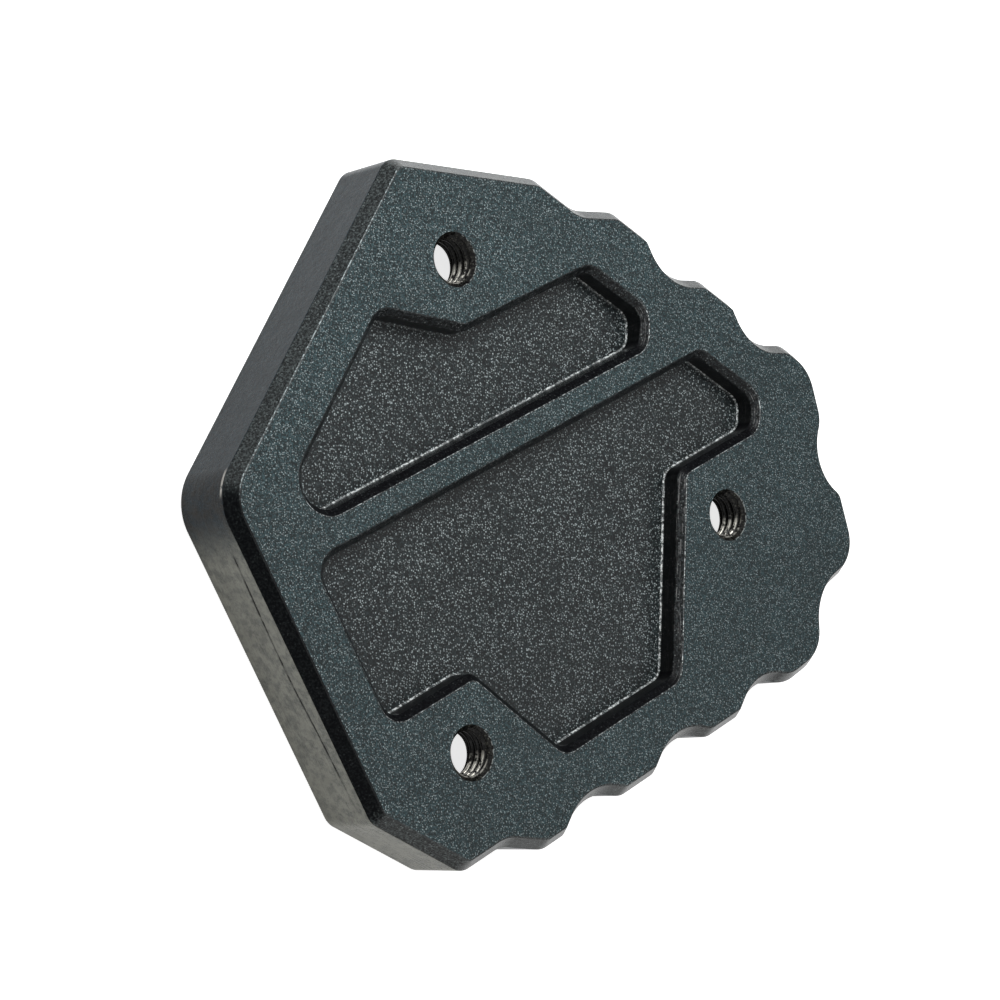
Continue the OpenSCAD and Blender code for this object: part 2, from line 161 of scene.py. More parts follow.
def plateLines(p):  # each closed line is a list of corners, as a point and the radius that rounds it
    side, nose, radii = {}, p["noseAngles"], p["radii"]
    holeSide = p["flatReach"] - p["holeInset"]
    holes = [Vector((0, holeSide)), Vector((p["noseReach"] - p["frontHoleInset"], 0)), Vector((0, -holeSide))]
    centre = Vector((p["noseReach"] - p["noseRadius"], -p["noseShift"]))
    rear = Vector((-p["rearReach"], 0))
    side["lowRear"] = (rear, -p["lowRearAngle"])
    side["flatRear"] = (rear, 180 + p["flatRearAngle"])
    side["flat"] = (Vector((0, p["flatReach"])), 180)
    lowCorner = Vector((-p["lowCornerBack"], -p["lowReach"]))
    flatCorner = Vector((p["flatEnd"], p["flatReach"]))
    side["short"] = (lowCorner, -p["shortEdgeAngle"])
    side["lowInner"] = (lowCorner, p["lowSideAngle"])
    side["flatInner"] = (flatCorner, 180 - p["flatSideAngle"])
    lowStart = along(lowCorner, p["lowSideAngle"], p["lowRun"], -p["scallopDepth"])
    flatStart = along(flatCorner, -p["flatSideAngle"], p["flatRun"], p["scallopDepth"])
    side["lowSide"] = (lowStart, p["lowSideAngle"])
    side["flatSide"] = (flatStart, 180 - p["flatSideAngle"])
    lowEnd = crossing(side["lowSide"], (centre, nose["lowJoin"]))
    flatJoin = crossing(side["flatSide"], (centre, nose["flatJoin"]))
    lowCount = max(1, round(((lowEnd - lowStart).length - p["lowFirstCrest"]) / p["scallopPitch"]))
    flatCount = max(1, round(((flatJoin - flatStart).length - p["flatFirstCrest"]) / p["scallopPitch"]))

    lowRows = []
    for k in range(lowCount):  # the last scallop runs out into the nose
        s = p["lowFirstCrest"] + k * p["scallopPitch"]
        lowRows.append((along(lowStart, p["lowSideAngle"], s), radii["sharpCrest"]))
        lowRows.append((along(lowStart, p["lowSideAngle"], s + p["scallopLean"], p["scallopDepth"]), radii["root"]))
        if k < lowCount - 1:
            lowRows.append((along(lowStart, p["lowSideAngle"], s + p["scallopWidth"]), radii["softCrest"]))
    flatRows, heading = [], -p["flatSideAngle"]
    for k in reversed(range(flatCount)):
        s = p["flatFirstCrest"] + k * p["scallopPitch"]
        flatRows.append((along(flatStart, heading, s + p["scallopWidth"]), radii["softCrest"]))
        flatRows.append((along(flatStart, heading, s + p["scallopLean"], -p["scallopDepth"]), radii["root"]))
        flatRows.append((along(flatStart, heading, s), radii["sharpCrest"]))
    noseRows = [(centre + polar(p["noseRadius"] - drop, nose[name]), radius) for name, drop, radius in (
        ("lowShoulder", 0, radii["shoulder"]), ("lowRoot", p["noseScallopDepth"], radii["root"]),
        ("lowCrest", p["noseCrestDrop"], radii["softCrest"]), ("tip", 0, radii["shoulder"]),
        ("flatCrest", p["noseCrestDrop"], radii["softCrest"]), ("flatRoot", p["noseScallopDepth"], radii["root"]),
        ("flatShoulder", 0, radii["shoulder"]))]
    lead = p["scallopWidth"] - p["scallopLean"]
    outline = [(rear, radii["rear"]), (crossing(side["lowRear"], side["short"]), radii["corner"]),
               (lowCorner, radii["corner"]),
               (along(lowStart, p["lowSideAngle"], -lead, p["scallopDepth"]), radii["step"]),
               (lowStart, radii["softCrest"])]
    outline += lowRows + [(lowEnd, radii["join"])] + noseRows + [(flatJoin, radii["join"])] + flatRows
    outline += [(flatStart, radii["softCrest"]),
                (along(flatStart, heading, -lead, -p["scallopDepth"]), radii["step"]),
                (flatCorner, radii["softCrest"]), (crossing(side["flat"], side["flatRear"]), radii["corner"])]

    # The pockets keep their margins to the plate's edges and their lands to the screw holes
    wall = {"lowRear": beside(side["lowRear"], p["rearMargin"]), "flatRear": beside(side["flatRear"], p["rearMargin"]),
            "low": beside(side["lowSide"], p["sideMargin"]), "flat": beside(side["flatSide"], p["sideMargin"])}
    rib = (polar(p["ribOffset"], p["ribAngle"] + 90), p["ribAngle"])
    ribUpper, ribLower = beside(rib, p["ribWidth"] / 2), beside(rib, -p["ribWidth"] / 2)

    def land(place, away):
        return (place + polar(p["holeLand"], away), away + 90)

    cross = 90 - p["crossSlant"]
    smallEnd = (Vector((holes[1].x - p["smallPocketGap"], holeSide - p["smallPocketDrop"])), cross)
    largeEnd = (Vector((holes[1].x + p["largePocketLead"], holeSide / 2)), cross)
    r = radii["pocket"]
    backLand, sideLand = land(holes[0], -90 - p["crossSlant"]), land(holes[0], p["ribAngle"] - 90)
    smallPocket = [(crossing(ribUpper, wall["flatRear"]), radii["point"]), (crossing(wall["flatRear"], backLand), r),
                   (crossing(backLand, sideLand), r), (crossing(sideLand, wall["flat"]), r),
                   (crossing(wall["flat"], smallEnd), r), (crossing(smallEnd, ribUpper), r)]
    noseLand, rearLand = land(holes[1], p["ribAngle"] + 90), land(holes[1], 180 - p["crossSlant"])
    lowLand, lowBack = land(holes[2], p["lowLandAngle"]), land(holes[2], p["ribAngle"] + 90)
    largePocket = [(crossing(wall["lowRear"], ribLower), r), (crossing(ribLower, wall["flat"]), r),
                   (crossing(wall["flat"], largeEnd), r), (crossing(largeEnd, noseLand), r),
                   (crossing(noseLand, rearLand), r), (crossing(rearLand, wall["low"]), r),
                   (crossing(wall["low"], lowLand), r), (crossing(lowLand, lowBack), r),
                   (crossing(lowBack, wall["lowRear"]), r)]
    ring = [beside(side[name], p["rimWidth"]) for name in ("flatRear", "lowRear", "short", "lowInner")]
    ring.append((Vector((centre.x + p["noseRadius"] - p["noseScallopDepth"] - p["rimWidth"], 0)), 90))
    ring += [beside(side[name], p["rimWidth"]) for name in ("flatInner", "flat")]
    seat = [(crossing(ring[k], ring[(k + 1) % len(ring)]), radii["seat"]) for k in range(len(ring))]
    seat.reverse()  # clockwise, with the material on the left
    return outline, smallPocket, largePocket, seat, holes


def cornerArcs(rows):  # each row's point and radius become the arc that rounds it
    count = len(rows)
    heads = [headingTo(rows[i - 1][0], rows[i][0]) for i in range(count)]
    turns = [(heads[(i + 1) % count] - heads[i] + 540) % 360 - 180 for i in range(count)]
    wanted = [rows[i][1] * math.tan(math.radians(abs(turns[i]) / 2)) for i in range(count)]
    share = [min(1, (rows[(i + 1) % count][0] - rows[i][0]).length / (wanted[i] + wanted[(i + 1) % count]))
             for i in range(count)]
    arcs = []
    for i, (point, radius) in enumerate(rows):
        radius *= min(share[i], share[i - 1])
        side = 1 if turns[i] > 0 else -1
        tangent = radius * math.tan(math.radians(abs(turns[i]) / 2))
        middle = point - polar(tangent, heads[i]) + polar(radius, heads[i] + side * 90)
        arcs.append({"middle": middle, "radius": radius, "side": side, "turn": turns[i], "heading": heads[i]})
    return arcs


def spotOn(arc, outward, inset):
    reach = max(arc["radius"] - arc["side"] * inset, leastRadius)
    return arc["middle"] + outward * (arc["side"] * reach)


def columnsOf(rows, arcStep):  # (arc, outward direction, run along the edge), and the whole run
    columns, run, before = [], 0.0, None
    for arc in cornerArcs(rows):
        steps = max(leastSteps, math.ceil(abs(arc["turn"]) / arcStep))
        for k in range(steps + 1):
            outward = polar(1, arc["heading"] + arc["turn"] * k / steps - 90)
            spot = spotOn(arc, outward, 0)
            if before is not None:
                gap = (spot - before).length
                if gap < leastGap:  # the arc before ends here too
                    continue
                run += gap
            columns.append((arc, outward, run))
            before = spot
    return columns, run + (spotOn(columns[0][0], columns[0][1], 0) - before).length


def rearPointRun(outline):  # where the low rear edge would begin its run if the rear corner were sharp
    arc = cornerArcs(outline)[0]
    end = spotOn(arc, polar(1, arc["heading"] + arc["turn"] - 90), 0)
    return math.radians(abs(arc["turn"])) * arc["radius"] - (outline[0][0] - end).length


# A section through an edge as (inset, z), going up. The first and last point only give directions. Each corner
# between them has a fillet, its scuffs with their painted highlight, and two finishes: the fillet's, and that of the
# straight after it
def softProfile(points, fillets, wornAndLitShares, names, steps):
    made, travel = [], 0.0
    for j in range(1, len(points) - 1):
        here = Vector(points[j])
        into = (here - Vector(points[j - 1])).normalized()
        out = (Vector(points[j + 1]) - here).normalized()
        bend = math.atan2(into.x * out.y - into.y * out.x, into.dot(out))
        cut = fillets[j - 1] * math.tan(abs(bend) / 2)
        aside = Vector((-into.y, into.x)) * (1 if bend > 0 else -1)
        hub = here - into * cut + aside * fillets[j - 1]
        for k in range(steps + 1):
            turn = Matrix.Rotation(bend * k / steps, 2)
            spot, way = hub - (turn @ aside) * fillets[j - 1], turn @ into
            if made:
                travel += (spot - made[-1]["at"]).length
            worn = wornAndLitShares[j - 1] * math.sin(math.pi * k / steps)
            made.append({"at": spot, "way": way, "travel": travel, "worn": worn,
                         "finish": names[2 * j - 2] if k < steps else names[2 * j - 1]})
    return made


def isWithin(spot, sides):  # counts the sides crossed on the way out, so rings inside a ring are holes
    crossed = False
    for a, b in sides:
        if (a.y > spot.y) != (b.y > spot.y) and spot.x < a.x + (b.x - a.x) * (spot.y - a.y) / (b.y - a.y):
            crossed = not crossed
    return crossed


def tilted(outward, way):  # the normal of a wall that faces outward and runs this way, as (inset, z)
    return Vector((outward.x * way.y, outward.y * way.y, way.x)).normalized()


class Skin:  # the lists that one closed mesh is built from, in metres
    def __init__(self, middle):
        self.middle = middle
        self.spots, self.worn, self.facing = [], [], []  # one for each point
        self.faces, self.finishes = [], []
        self.normals, self.maps = [], []  # one for each corner of each face

    def metres(self, x, y, z):
        return Vector(((x - self.middle.x) / mm, (y - self.middle.y) / mm, z / mm))

    def point(self, place, worn, facing):
        self.spots.append(place)
        self.worn.append(worn)
        self.facing.append(facing)
        return len(self.spots) - 1

    def face(self, ids, finish, normals, maps):
        self.faces.append(ids)
        self.finishes.append(finish)
        self.normals += normals
        self.maps += maps

    def strip(self, rows, profile, arcStep):  # carries a section round a closed line
        columns, total = columnsOf(rows, arcStep)
        count, rings = len(columns), []
        for level in profile:
            ring = []
            for arc, outward, _ in columns:
                at = spotOn(arc, outward, level["at"].x)
                ring.append(self.point(self.metres(at.x, at.y, level["at"].y), level["worn"],
                                       tilted(outward, level["way"])))
            rings.append(ring)
        for k in range(len(profile) - 1):
            low, high = profile[k], profile[k + 1]
            for i in range(count):
                j = (i + 1) % count
                run, nextRun = columns[i][2], columns[j][2] if j else total
                corners = [(k, i, low, run), (k, j, low, nextRun), (k + 1, j, high, nextRun), (k + 1, i, high, run)]
                self.face([rings[a][b] for a, b, _, _ in corners], low["finish"],
                          [tilted(columns[b][1], level["way"]) for _, b, level, _ in corners],
                          [(at / mm, level["travel"] / mm) for _, _, level, at in corners])
        return rings

    def circle(self, place, radius, z, columns):
        spots = [place + polar(radius, -360 * k / columns) for k in range(columns)]
        return [self.point(self.metres(spot.x, spot.y, z), 0.0, Vector((0, 0, 1))) for spot in spots]

    def flat(self, loops, finish, up):  # fills between closed rings on one level
        points, edges, ids = [], [], []
        for loop in loops:
            start = len(points)
            points += [Vector((self.spots[i].x * mm, self.spots[i].y * mm)) for i in loop]
            ids += loop
            edges += [(start + k, start + (k + 1) % len(loop)) for k in range(len(loop))]
        spots, _, tris, sources, _, _ = delaunay_2d_cdt(points, edges, [], 1, onePoint)  # 1: none outside
        sides = [(points[a], points[b]) for a, b in edges]
        kept = [[ids[sources[v][0]] for v in tri] for tri in tris
                if isWithin((spots[tri[0]] + spots[tri[1]] + spots[tri[2]]) / 3, sides)]
        for tri in kept:
            a, b, c = (self.spots[i] for i in tri)
            if ((b - a).cross(c - a).z > 0) != up:
                tri.reverse()
            self.face(tri, finish, [Vector((0, 0, 1 if up else -1))] * 3,
                      [(self.spots[i].x, self.spots[i].y) for i in tri])
        return len(kept)


# The screw threads: one turned wall, put at each hole by Geometry Nodes
screwThread = {
    "Core Radius": 0.0025, "Thread Radius": 0.003, "Mouth Radius": 0.00315, "Pitch": 0.001,
    "Columns": 96, "Rows Per Turn": 16,
    "Groove Flat": 1 / 16, "Flank": 5 / 16,  # half the flat in the groove, and one flank, in pitches
    "Merge Distance": 2e-6, "Join Distance": 4e-6,
    # The side where the crests are bright bare metal, as where screws rub, placed to paint glints there, in degrees,
    # and how fast and from where the bare metal grows
    "Rubbed Side": -75.0, "Crest Rub": (3, 1.7), "Side Rub": (1.9, 0.25),
}


def threadTree(material):
    tree = bpy.data.node_groups.new("screwThreadTree", "GeometryNodeTree")
    tree.interface.new_socket("Holes", in_out="INPUT", socket_type="NodeSocketGeometry")
    for name in ("Core Radius", "Thread Radius", "Mouth Radius", "Pitch", "Low", "High", "Groove Flat", "Flank",
                 "Merge Distance"):
        tree.interface.new_socket(name, in_out="INPUT", socket_type="NodeSocketFloat")
    for name in ("Columns", "Rows Per Turn"):
        tree.interface.new_socket(name, in_out="INPUT", socket_type="NodeSocketInt")
    tree.interface.new_socket("Threads", in_out="OUTPUT", socket_type="NodeSocketGeometry")
    given = tree.nodes.new("NodeGroupInput")
    (holes, core, thread, mouth, pitch, low, high, grooveFlat, flank, mergeDistance,
     columns, rowsPerTurn) = (Wire(tree, given.outputs[k]) for k in range(12))
    rows = ((high - low) / pitch * rowsPerTurn).maths("CEIL") + rowsPerTurn
    span = rows * pitch / rowsPerTurn
    grid = Wire(tree).node("GeometryNodeMeshGrid", None, {0: 1.0, 1: 1.0, 2: columns + 1, 3: rows + 1})
    across, up, _ = Wire(tree).node("GeometryNodeInputPosition").parts()
    turn = across + 0.5
    z = (low + (up + 0.5) * span - pitch * turn).atLeast(low).atMost(high)
    off = abs(((z + pitch * turn) / pitch).maths("FRACT") - 0.5)  # 0 in the groove, 0.5 on the crest
    radius = thread + (core - thread) * ((off - grooveFlat) / flank).atLeast(0.0).atMost(1.0)
    radius = radius.atLeast(mouth - (high - z)).atLeast(mouth - (z - low))  # countersinks at both ends
    angle = turn * (-2 * math.pi)
    spot = angle.node("ShaderNodeCombineXYZ", None,
                      {0: radius * angle.maths("COSINE"), 1: radius * angle.maths("SINE"), 2: z})
    wall = grid.node("GeometryNodeSetPosition", None, {"Geometry": grid, "Position": spot})
    wall = wall.node("GeometryNodeMergeByDistance", None, {"Geometry": wall, "Distance": mergeDistance})
    wall = wall.node("GeometryNodeSetShadeSmooth", None, {"Geometry": wall})
    put = wall.node("GeometryNodeInstanceOnPoints", None, {"Points": holes, "Instance": wall})
    real = put.node("GeometryNodeRealizeInstances", None, {"Geometry": put})
    real.node("GeometryNodeSetMaterial", None, {"Geometry": real, "Material": material}).ends("NodeGroupOutput")
    return tree


def threadWalls(holeSpots, low, high, material):
    dots = bpy.data.meshes.new("holePlaces")
    dots.from_pydata([(x, y, 0) for x, y in holeSpots], [], [])
    holder = bpy.data.objects.new("threadHolder", dots)
    scene.collection.objects.link(holder)
    tree = threadTree(material)
    modifier = holder.modifiers.new("threads", "NODES")
    modifier.node_group = tree
    values = {**screwThread, "Low": low, "High": high}
    for item in tree.interface.items_tree:
        if item.in_out == "INPUT" and item.name in values:
            modifier[item.identifier] = values[item.name]
    bpy.context.view_layer.update()
    ready = holder.evaluated_get(bpy.context.evaluated_depsgraph_get())
    mesh = bpy.data.meshes.new_from_object(ready)
    holder.modifiers.remove(modifier)
    bpy.data.objects.remove(holder)
    return mesh


def toAxis(spot, holeSpots):  # from a point of a thread to the middle of its hole, in plan
    return min((hole - Vector((spot.x, spot.y)) for hole in holeSpots), key=lambda v: v.length)


def grown(value, slope, start):
    return max(0.0, min(1.0, value * slope - start))


def rubbedGlint(off):  # how bare and bright a point of a thread, off its axis by this, is: its crests, most on one side, to paint glints there
    core, thread = screwThread["Core Radius"], screwThread["Thread Radius"]
    crest = (thread - off.length) / (thread - core)
    side = off.normalized().dot(polar(1, screwThread["Rubbed Side"]))
    return grown(crest, *screwThread["Crest Rub"]) * grown(side, *screwThread["Side Rub"])


def addThreads(skin, holes, rims, low, high, material):  # joins the turned walls to the rings round the holes
    holeSpots = [skin.metres(hole.x, hole.y, 0).to_2d() for hole in holes]
    threads = threadWalls(holeSpots, low / mm, high / mm, material)
    near = KDTree(len(rims))
    for i in rims:
        near.insert(skin.spots[i], i)
    near.balance()
    ids = []
    for vertex in threads.vertices:
        _, rim, gap = near.find(vertex.co)
        if gap < screwThread["Join Distance"]:
            ids.append(rim)
        else:
            inwards = toAxis(vertex.co, holeSpots)
            ids.append(skin.point(vertex.co.copy(), rubbedGlint(-inwards), inwards.normalized().to_3d()))
    flip = sum(poly.normal.dot(toAxis(poly.center, holeSpots).to_3d()) for poly in threads.polygons) < 0
    for poly in threads.polygons:
        loops = list(poly.loop_indices)
        if flip:
            loops.reverse()
        corners = [ids[threads.loops[k].vertex_index] for k in loops]
        if len(set(corners)) < len(corners):  # it has closed up at a rim
            continue
        skin.face(corners, "threadWall", [threads.corner_normals[k].vector * (-1 if flip else 1) for k in loops],
                  [(0.0, skin.spots[i].z) for i in corners])
    print("threads:", len(threads.polygons), "faces, flipped", flip)


# Finishes of the anodised aluminium. Lengths and heights in millimetres, colours as linear values.
# dark and light: the film between the grains. Next, the colour of scuffed edges and of the painted highlights along
# them. Then the grains, lighter so that they also paint their sparkle, less those below grainLow.
# grain and fine: sizes of the grains and of the texture under them. streak and lined: height and grey of mill lines
finishes = {
    "blastedFace": {
        "dark": (0.005, 0.009, 0.010), "light": (0.029, 0.055, 0.062), "worn": (0.14, 0.165, 0.17),
        "grainAndSparkleTone": (0.34, 0.40, 0.41), "grainLow": 0.0, "grain": 0.21, "grainHeight": 0.050,
        "fine": 0.12, "fineHeight": 0.03, "rough": 0.34, "roughSwing": 0.20, "ior": 1.35},
    "pocketFloor": {
        "dark": (0.002, 0.003, 0.0035), "light": (0.016, 0.023, 0.025), "worn": (0.80, 0.83, 0.83),
        "grainAndSparkleTone": (0.46, 0.52, 0.53), "grainLow": 0.0, "grain": 0.25, "grainHeight": 0.070,
        "fine": 0.12, "fineHeight": 0.03, "rough": 0.34, "roughSwing": 0.20, "ior": 1.36},
    "edgeBevel": {
        "dark": (0.010, 0.012, 0.0125), "light": (0.044, 0.052, 0.053), "worn": (0.28, 0.33, 0.34),
        "grainAndSparkleTone": (0.10, 0.12, 0.12), "grainLow": 0.5, "grain": 0.26, "grainHeight": 0.02,
        "fine": 0.10, "fineHeight": 0.008, "rough": 0.26, "roughSwing": 0.12, "ior": 1.45, "streak": 0.02},
    "pocketBevel": {
        "dark": (0.0015, 0.0017, 0.002), "light": (0.022, 0.026, 0.028), "worn": (0.60, 0.65, 0.66),
        "grainAndSparkleTone": (0.12, 0.13, 0.13), "grainLow": 0.45, "grain": 0.26, "grainHeight": 0.04,
        "fine": 0.10, "fineHeight": 0.010, "rough": 0.34, "roughSwing": 0.16, "ior": 1.26,
        "streak": 0.05, "lined": 0.16},
    "sideWall": {
        "dark": (0.004, 0.009, 0.013), "light": (0.012, 0.024, 0.033), "worn": (0.06, 0.065, 0.065),
        "grainAndSparkleTone": (0.03, 0.035, 0.04), "grainLow": 0.6, "grain": 0.25, "grainHeight": 0.004,
        "fine": 0.10, "fineHeight": 0.003, "rough": 0.28, "roughSwing": 0.06, "ior": 1.22, "streak": 0.003},
    "pocketWall": {
        "dark": (0.002, 0.0022, 0.0025), "light": (0.006, 0.007, 0.008), "worn": (0.02, 0.02, 0.02),
        "grainAndSparkleTone": (0.03, 0.03, 0.03), "grainLow": 0.5, "grain": 0.25, "grainHeight": 0.01,
        "fine": 0.10, "fineHeight": 0.004, "rough": 0.34, "roughSwing": 0.08, "ior": 1.30,
        "streak": 0.01, "lined": 0.02},
    "threadWall": {
        "dark": (0.003, 0.003, 0.003), "light": (0.02, 0.02, 0.018), "worn": (0.86, 0.83, 0.75),
        "grainAndSparkleTone": (0.06, 0.06, 0.05), "grainLow": 0.5, "grain": 0.30, "grainHeight": 0.004,
        "fine": 0.08, "fineHeight": 0.003, "rough": 0.16, "roughSwing": 0.10, "ior": 1.22},
}
# Noises as scale per millimetre, detail and roughness
noises = {
    "cloud": (0.09, 3.0, 0.55), "mottle": (0.9, 4.0, 0.7), "patch": (0.35, 5.0, 0.7), "breaks": (0.7, 3.0, 0.7),
    "lines": (1.0, 2.0, 0.6), "wearAndLight": (1.3, 3.0, 0.65), "chips": (3.0, 1.0, 0.5), "rubGlint": (1.6, 2.0, 0.6),
}
# How the grains lie: each is a dome, lighter than the film so that it also paints the sparkle of light on it,
# with a painted shadow on one side
grains = {
    "dome": (0.08, 0.50), "leeShadow": (0.10, 0.55), "leeShadowShift": (0.09, 0.07, 0.0), "leeShadowShare": 0.85,
    "peel": (1.5, 0.5), "fine": (1.0, 0.5),  # detail and roughness of the noises between the grains
    "film": (0.40, 0.68), "filmBase": 0.5, "clump": (0.35, 0.65),
    "shares": (0.25, 0.6, 0.9),  # of the grains everywhere, in the clouds and in the clumps
    "cloudRough": 0.06, "leastRough": 0.08,
}
# Mill lines run along the walls. On the walls that face the rear, where the light falls, they are lined in grey:
# painted highlights on the streaks
millLines = {
    "stretch": (0.12, 7.0, 0), "rough": 0.10, "shown": (0.50, 0.66),
    "breakStretch": (0.9, 2.0, 0), "breaks": (0.42, 0.60), "rearwardLit": (-0.65, -0.35),
}
# Edges are scuffed, and lighter where they face the rear, where the light falls: painted highlights. In a pocket they
# are lighter along the rib too. The rib's own side is painted black: painted shade
wearAndLight = {
    "rearwardLit": (-0.48, -0.24, 1.0, 0.05), "ribward": (0.15, 0.35), "ribShadeSide": (0.25, 0.50), "ribShade": 0.75,
    "base": 0.05, "soft": 0.35, "softSpan": (0.42, 0.62), "chips": 1.3, "chipSpan": (0.52, 0.62),
    "threadSpan": (0.40, 0.54),
    "lipHighlightColour": (0.26, 0.28, 0.28), "lipLow": 0.11, "lipHigh": 0.03, "lipSpan": (0.40, 0.60),
}
# A near-black coat that barely reflects: mixed in as painted shade on the rib's side and the low rear bevel, and for
# real dark marks on the low rear wall
blackFilmAndShade = {"colour": (0.0024, 0.0024, 0.0032), "rough": 0.16, "ior": 1.12}
# Along the low rear edge the bevel is cut smoother and flatter, and the black film is mixed in there: painted shade for
# the dark the bevel reflects. Spans are runs from the rear point
lowBevel = {"cut": (-2.0, 0.8, 38.4, 40.2), "waver": 2, "black": 0.8, "smoother": 0.12, "flatter": 0.9,
            "unworn": (-1.0, 2.0, 60.0, 62.0)}
# The wall below it is a lighter, warmer grey than the other walls, stained at the rear corner. Under the bevel there it
# has a painted glint, and a fine dark tool line through the given runs and heights
lowWall = {
    "colour": (0.172, 0.175, 0.156), "span": (2.0, 9.0, 54.0, 57.0), "shares": (0.25, 0.4, 0.5, 0.3),
    "mottled": (0.35, 0.65), "mottleHeight": 0.05,
    "stainColour": (0.030, 0.022, 0.015), "stainRun": 1.0, "stainReach": (1.0, 5.5), "stainShare": 0.5,
    "glint": (-3.0, -2.0, -0.2, 0.7), "glintHeight": 7.62, "glintFade": (0.06, 0.24), "glintBreaks": (0.3, 0.5),
    "glintColour": (0.48, 0.46, 0.43), "patch": (0.42, 0.62), "soot": 0.12,
    "line": ((6.35, 6.3), (14.6, 5.95), (21.8, 5.85), (28.9, 6.25), (38.3, 6.55)), "width": 0.26, "depth": 0.07,
    "lineStart": 1.5, "lineFade": 6, "lineBreaks": (0.36, 0.60, 0.45, 1.0), "longest": 50, "tallest": 10,
}


def opaque(colour):
    return (*colour, 1)


def bareMaterial(name):
    made = bpy.data.materials.new(name)
    made.use_nodes = True
    made.node_tree.nodes.clear()
    return made, made.node_tree


def between(run, start, full, fade, end):  # 1 along a stretch with soft ends
    return run.ramp(start, full) * (1 - run.ramp(fade, end))


def toolLine(here, run, rise):
    dots, longest, tallest = lowWall["line"], lowWall["longest"], lowWall["tallest"]
    path = run.node("ShaderNodeFloatCurve", None, {"Value": run / longest})
    mapping = path.socket.node.mapping
    stops = [(0.0, dots[0][1] / tallest)] + [(a / longest, b / tallest) for a, b in dots]
    stops.append((1.0, dots[-1][1] / tallest))
    points = mapping.curves[0].points
    while len(points) < len(stops):
        points.new(0.5, 0.5)
    for point, stop in zip(points, stops):
        point.location = stop
    mapping.update()
    first, last = dots[0][0], dots[-1][0]
    shown = between(run, first, first + lowWall["lineStart"], last - lowWall["lineFade"], last)
    breaks = here.noise(*noises["breaks"]).ramp(*lowWall["lineBreaks"])
    return abs(rise - path * tallest).ramp(0.0, lowWall["width"], 1.0, 0.0) * shown * breaks


def lowRearWall(here, run, rise, cloud, fine, colour, height):
    mottle = here.noise(*noises["mottle"])
    mottled = mottle.ramp(*lowWall["mottled"])
    everywhere, clouded, spotted, grained = lowWall["shares"]
    warm = between(run, *lowWall["span"]) * (everywhere + clouded * cloud + spotted * mottled + grained * fine)
    colour = warm.atMost(1.0).blend(colour, opaque(lowWall["colour"]))
    stain = (1 - abs(run - lowWall["stainRun"]).ramp(*lowWall["stainReach"])) * mottled
    colour = (stain * lowWall["stainShare"]).blend(colour, opaque(lowWall["stainColour"]))
    height = height + (mottle - 0.5) * lowWall["mottleHeight"]
    # A painted glint along the top of the wall, under the bevel near the rear corner
    glint = between(run, *lowWall["glint"]) * abs(rise - lowWall["glintHeight"]).ramp(*lowWall["glintFade"], 1.0, 0.0)
    glint = (glint * mottle.ramp(*lowWall["glintBreaks"])).atMost(1.0)
    colour = glint.blend(colour, opaque(lowWall["glintColour"]))
    mark = toolLine(here, run, rise)
    patch = here.noise(*noises["patch"]).ramp(*lowWall["patch"])
    black = (mark + stain * lowWall["soot"] + patch * lowWall["soot"]).atMost(1.0)
    return colour, height - mark * lowWall["depth"], black


